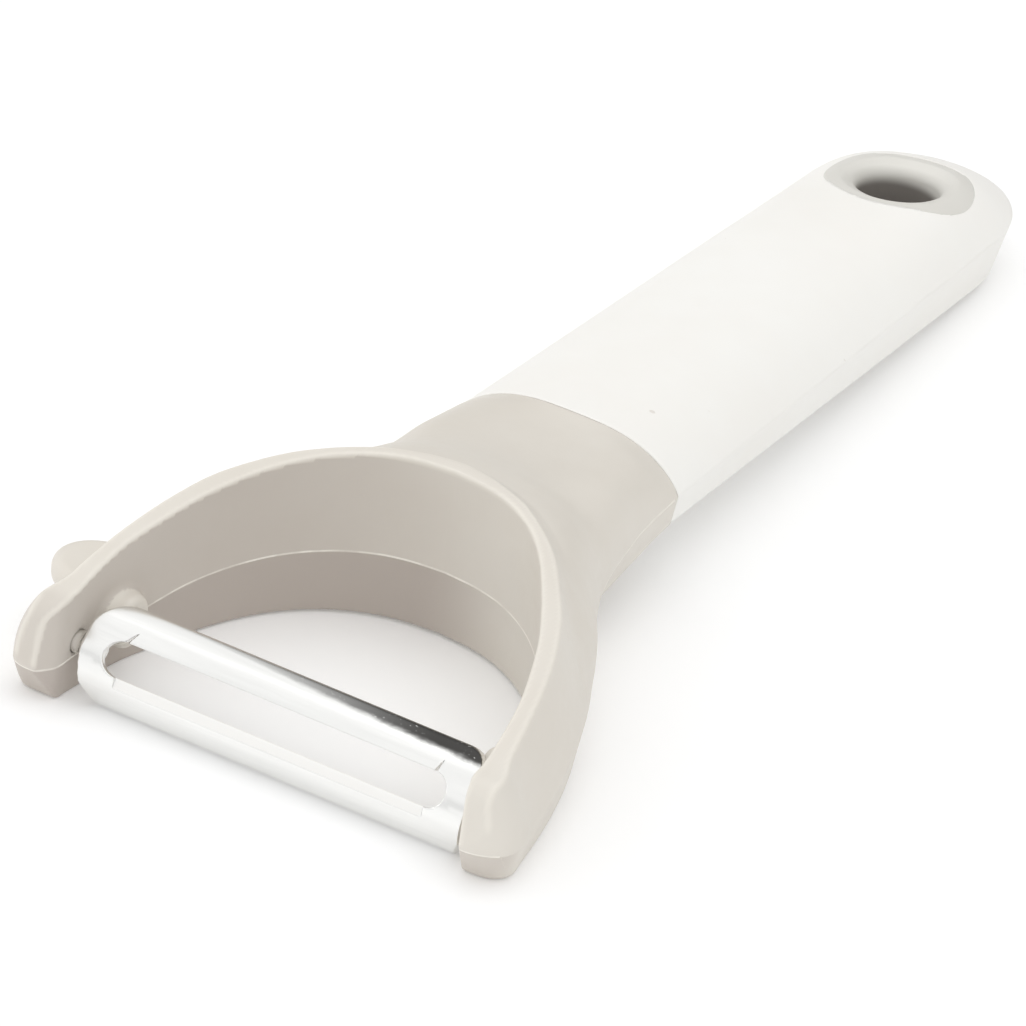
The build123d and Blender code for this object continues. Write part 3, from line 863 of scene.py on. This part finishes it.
class PEELER_OT_blade(bpy.types.Operator):
    """Makes the stamped blade with its slot, ground lip, notches and trunnions"""
    bl_idname = "peeler.blade"
    bl_label = "Make the blade"

    def execute(self, context):
        s = in_mm(context.scene.peeler_blade)
        surface = surface_of(blade_field(s), (-29.8, -2.3, -6.2), (29.8, 2.6, 6.2), s.cell)
        x, y, z = surface[0].T
        radius = np.hypot(y - s.bend_radius + s.crest, z)
        # The rear mark places the painted dark reflection along the rear edge
        rear = np.where(radius > s.bend_radius - 0.25, s.chord / 2 - z, 9.0)
        rear = np.where(np.abs(x) > s.half_length - 0.05, 9.0, rear)
        straight = s.slot_half - s.slot_width / 2
        ground = ((radius < s.bend_radius - 0.06) & (radius > s.bend_radius - 0.62) & (z < -1.9)
                  & (z > -3.6) & (np.abs(x) < straight - 0.05)).astype(float)
        marks = [("rear", rear), ("along", x / s.half_length), ("ground", ground)]
        place = PIVOT + Vector((s.side_play, 0, 0))
        matrix = head_matrix() @ Matrix.Translation(place) @ Matrix.Rotation(-s.rest_turn, 4, "X")
        new_piece("stamped_blade", surface, matrix, body_of_node("blade"),
                  "blade", polished_steel("blade_steel"), marks)
        return {"FINISHED"}


# The handle


def crown_height(s, x, y):
    """Height of the grip's crown over its crease: at the far end it falls and is lower on the left."""
    along = np.clip(y / s.straight, 0, 1)
    crown = s.crown_joint + (s.crown_end - s.crown_joint) * along
    crown = crown + s.lopside * x * smooth_step(y, 60, 86)
    return np.maximum(crown - s.fall_rate * np.maximum(y - s.fall_start, 0) ** 2, 0.5)


def handle_field(s):
    """The whole grip without its hole, before it is cut at the joint."""
    end_share = s.half_end / (s.length_all - s.straight)

    def field(x, y, z):
        along = np.clip(y / s.straight, 0, 1)
        ahead = np.maximum(y - s.straight, 0) * end_share
        aside = np.abs(x + s.drift * along)
        q = (aside ** s.plan_power + ahead ** s.plan_power) ** (1 / s.plan_power)
        half = s.half_joint + (s.half_end - s.half_joint) * along
        depth = s.depth_joint + (s.depth_end - s.depth_joint) * along
        squareness = s.square_joint + (s.square_end - s.square_joint) * along ** 2
        roundness = s.round_joint + (s.round_end - s.round_joint) * along
        body = crowned(q, z, half, crown_height(s, x, y), squareness, roundness)
        lean = s.lean_joint + (s.lean_end - s.lean_joint) * along
        body = both(body, q - half + lean * np.clip(-z / depth, 0, 1.2))
        under = -z - depth - s.under_crown * (1 - (q / half) ** 2)
        return both(body, under, s.edge_round)

    return field


def sleeve_field(s, e, matrix):
    """The grip round the eyelet and the core, reaching a little under the ring."""
    blank = handle_field(s)
    grounded = over_floor(matrix)

    def field(x, y, z):
        body = both(blank(x, y, z), -y, 0.1)
        body = both(body, grounded(x, y, z), 0.3)
        ring = np.hypot(x, y - e.setback)
        body = both(body, e.radius - e.overlap - ring)
        core = both(np.abs(x) - CORE_HALF_WIDTH + CORE_TAPER * np.maximum(y, 0),
                    np.abs(z - CORE_HEIGHT) - CORE_HALF_HEIGHT)
        return both(body, -both(core, y - e.setback))

    return field


def eyelet_field(s, e):
    """The ring, dished towards its hole, with its top a hair over the grip's."""
    blank = handle_field(s)

    def field(x, y, z):
        r = np.hypot(x, y - e.setback)
        body = both(blank(x, y, z - e.proud), r - e.radius)
        dish = crown_height(s, x, y) - e.dish_drop - 0.5 * np.maximum(e.dish_radius - r, 0)
        body = both(body, (z - dish) * 0.9, 0.4)
        body = both(body, e.bore - r, e.lip_round)
        return both(body, -z - s.depth_end + e.recess, 0.2)

    return field


class PEELER_OT_handle(bpy.types.Operator):
    """Makes the soft white grip round the core"""
    bl_idname = "peeler.handle"
    bl_label = "Make the grip"

    def execute(self, context):
        s = in_mm(context.scene.peeler_handle)
        e = in_mm(context.scene.peeler_eyelet)
        matrix = handle_matrix()
        surface = surface_of(sleeve_field(s, e, matrix), (-16, -0.5, -9), (16, 109, 6.2), s.cell)
        new_piece("soft_grip", surface, matrix, body_of_node("handle_sleeve"),
                  "handle_sleeve", soft_grip("soft_grip"))
        return {"FINISHED"}


class PEELER_OT_eyelet(bpy.types.Operator):
    """Makes the hanging eyelet with its rounded lip"""
    bl_idname = "peeler.eyelet"
    bl_label = "Make the eyelet"

    def execute(self, context):
        s = in_mm(context.scene.peeler_handle)
        e = in_mm(context.scene.peeler_eyelet)
        low = (-10, e.setback - 10, -8.6)
        high = (10, e.setback + 10, 6.2)
        surface = surface_of(eyelet_field(s, e), low, high, e.cell)
        x, y, z = surface[0].T
        # Painted shade: the ring is coloured darker down inside its hole, kept as the depth mark
        inside = np.hypot(x, y - e.setback) < e.bore + 1.4
        depth = np.where(inside, smooth_step(-z, -3.0, -1.6), 0)
        plastic = moulded_plastic("eyelet_plastic", RING_GREY, shade=RING_SHADE)
        new_piece("hanging_ring", surface, handle_matrix(), body_of_node("hanging_eyelet"),
                  "hanging_eyelet", plastic, [("depth", depth)])
        return {"FINISHED"}


class PEELER_OT_core(bpy.types.Operator):
    """Gives the stiff core its plain moulded finish"""
    bl_idname = "peeler.core"
    bl_label = "Finish the core"

    def execute(self, context):
        core = frame["nodes"]["handle_tang"]
        plastic = moulded_plastic("tang_plastic", CORE_TAUPE)
        core.data.materials.clear()
        core.data.materials.append(plastic)
        return {"FINISHED"}


# The stage


def studio_surround(settings):
    """A white surround with grey parts low down, which the steel and the walls reflect."""
    world = bpy.data.worlds.new("surround")
    bpy.context.scene.world = world
    world.use_nodes = True
    tree = world.node_tree
    back = tree.nodes["Background"]
    place = tree.nodes.new("ShaderNodeTexCoord").outputs["Generated"]
    split = tree.nodes.new("ShaderNodeSeparateXYZ")
    tree.links.new(place, split.inputs[0])

    def ramp(axis, start, end, low, high):
        node = tree.nodes.new("ShaderNodeMapRange")
        node.interpolation_type = "SMOOTHSTEP"
        tree.links.new(split.outputs[axis], node.inputs["Value"])
        for key, number in (("From Min", start), ("From Max", end), ("To Min", low), ("To Max", high)):
            node.inputs[key].default_value = number
        return node.outputs[0]

    def patch(under, here, high, grey):
        both_ways = tree.nodes.new("ShaderNodeMath")
        both_ways.operation = "MULTIPLY"
        tree.links.new(here, both_ways.inputs[0])
        tree.links.new(high, both_ways.inputs[1])
        mix = tree.nodes.new("ShaderNodeMix")
        mix.data_type = "RGBA"
        tree.links.new(both_ways.outputs[0], mix.inputs[0])
        mix.inputs[6].default_value = (1, 1, 1, 1)
        if under is not None:
            tree.links.new(under, mix.inputs[6])
        mix.inputs[7].default_value = (grey, grey, grey, 1)
        return mix.outputs[2]

    colour = None
    for axis, reach, fade, grey in SURROUND:
        colour = patch(colour, ramp(axis, *reach), ramp("Z", *fade, 1, 0), grey)
    tree.links.new(colour, back.inputs["Color"])
    back.inputs["Strength"].default_value = settings.world


def floor(settings):
    """A plain pale floor under the object."""
    corners = [(-1, -1), (1, -1), (1, 1), (-1, 1)]
    mesh = bpy.data.meshes.new("floor")
    mesh.from_pydata([(x * FLOOR_HALF, y * FLOOR_HALF, 0) for x, y in corners], [], [(0, 1, 2, 3)])
    n = Nodes("floor_paint")
    n.set("Base Color", (0.93, 0.93, 0.93, 1))
    n.set("Roughness", 0.9)
    n.set("Specular IOR Level", 0.1)
    n.set("Emission Color", (1, 1, 1, 1))
    n.set("Emission Strength", settings.floor_glow)
    mesh.materials.append(n.material)
    plane = bpy.data.objects.new("floor", mesh)
    bpy.context.scene.collection.objects.link(plane)


def softbox(name, place, aim, width, height, power):
    """A soft rectangular light at place that faces aim."""
    light = bpy.data.lights.new(name, "AREA")
    light.shape = "RECTANGLE"
    light.size, light.size_y = width, height
    light.energy = power
    lamp = bpy.data.objects.new(name, light)
    lamp.location = place
    lamp.rotation_euler = (Vector(aim) - Vector(place)).to_track_quat("-Z", "Y").to_euler()
    bpy.context.scene.collection.objects.link(lamp)


def photo_camera(focal):
    """The camera at the photograph's angle, found by fitting the object's outlines."""
    yaw, pitch, roll = (math.radians(angle) for angle in CAMERA_TURN)
    ahead = Vector((-math.sin(yaw) * math.cos(pitch), math.cos(yaw) * math.cos(pitch),
                    -math.sin(pitch)))
    right = Vector((math.cos(yaw), math.sin(yaw), 0))
    up = right.cross(ahead)
    across = math.cos(roll) * right + math.sin(roll) * up
    upward = -math.sin(roll) * right + math.cos(roll) * up
    head = head_matrix()
    place = head @ (Vector((0, CAMERA_AIM, 0)) - CAMERA_DISTANCE * ahead)
    turn = head.to_3x3().normalized()
    axes = [turn @ v for v in (across, upward, -ahead)]
    data = bpy.data.cameras.new("camera")
    data.sensor_width = 36
    data.lens = focal / PHOTO_SIDE * data.sensor_width
    data.shift_x, data.shift_y = (shift / PHOTO_SIDE for shift in CAMERA_SHIFT)
    data.clip_start, data.clip_end = 0.05, 20
    camera = bpy.data.objects.new("camera", data)
    camera.matrix_world = Matrix.Translation(place) @ Matrix(axes).transposed().to_4x4()
    bpy.context.scene.collection.objects.link(camera)
    bpy.context.scene.camera = camera


class PEELER_OT_stage(bpy.types.Operator):
    """Makes the floor, the soft light and the camera"""
    bl_idname = "peeler.stage"
    bl_label = "Make the stage"

    def execute(self, context):
        settings = in_mm(context.scene.peeler_studio)
        studio_surround(settings)
        floor(settings)
        for light in LIGHTS:
            softbox(*light)
        photo_camera(settings.focal)
        context.scene.view_settings.view_transform = "Standard"
        return {"FINISHED"}


class PEELER_PT_panel(bpy.types.Panel):
    """The peeler's pieces and stage, with their sizes"""
    bl_idname = "PEELER_PT_panel"
    bl_label = "Peeler"
    bl_space_type = "VIEW_3D"
    bl_region_type = "UI"
    bl_category = "Peeler"

    def draw(self, context):
        for operator in OPERATORS:
            self.layout.operator(operator.bl_idname)
        for key in GROUPS:
            group = getattr(context.scene, key)
            box = self.layout.box()
            for name in group.bl_rna.properties.keys():
                if name not in ("name", "rna_type"):
                    box.prop(group, name)


OPERATORS = [PEELER_OT_yoke, PEELER_OT_blade, PEELER_OT_handle, PEELER_OT_eyelet, PEELER_OT_core,
             PEELER_OT_stage]
GROUPS = {
    "peeler_yoke": PEELER_YokeSizes, "peeler_blade": PEELER_BladeSizes, "peeler_handle": PEELER_HandleSizes,
    "peeler_eyelet": PEELER_EyeletSizes, "peeler_studio": PEELER_StudioSettings,
}


def register():
    for item in list(GROUPS.values()) + OPERATORS + [PEELER_PT_panel]:
        bpy.utils.register_class(item)
    for key, group in GROUPS.items():
        setattr(bpy.types.Scene, key, bpy.props.PointerProperty(type=group))


def unregister():
    for key in GROUPS:
        delattr(bpy.types.Scene, key)
    for item in reversed(list(GROUPS.values()) + OPERATORS + [PEELER_PT_panel]):
        bpy.utils.unregister_class(item)


def main():
    register()
    bpy.ops.peeler.yoke()
    bpy.ops.peeler.blade()
    bpy.ops.peeler.handle()
    bpy.ops.peeler.eyelet()
    bpy.ops.peeler.core()
    bpy.ops.peeler.stage()


if __name__ == "__main__":
    main()
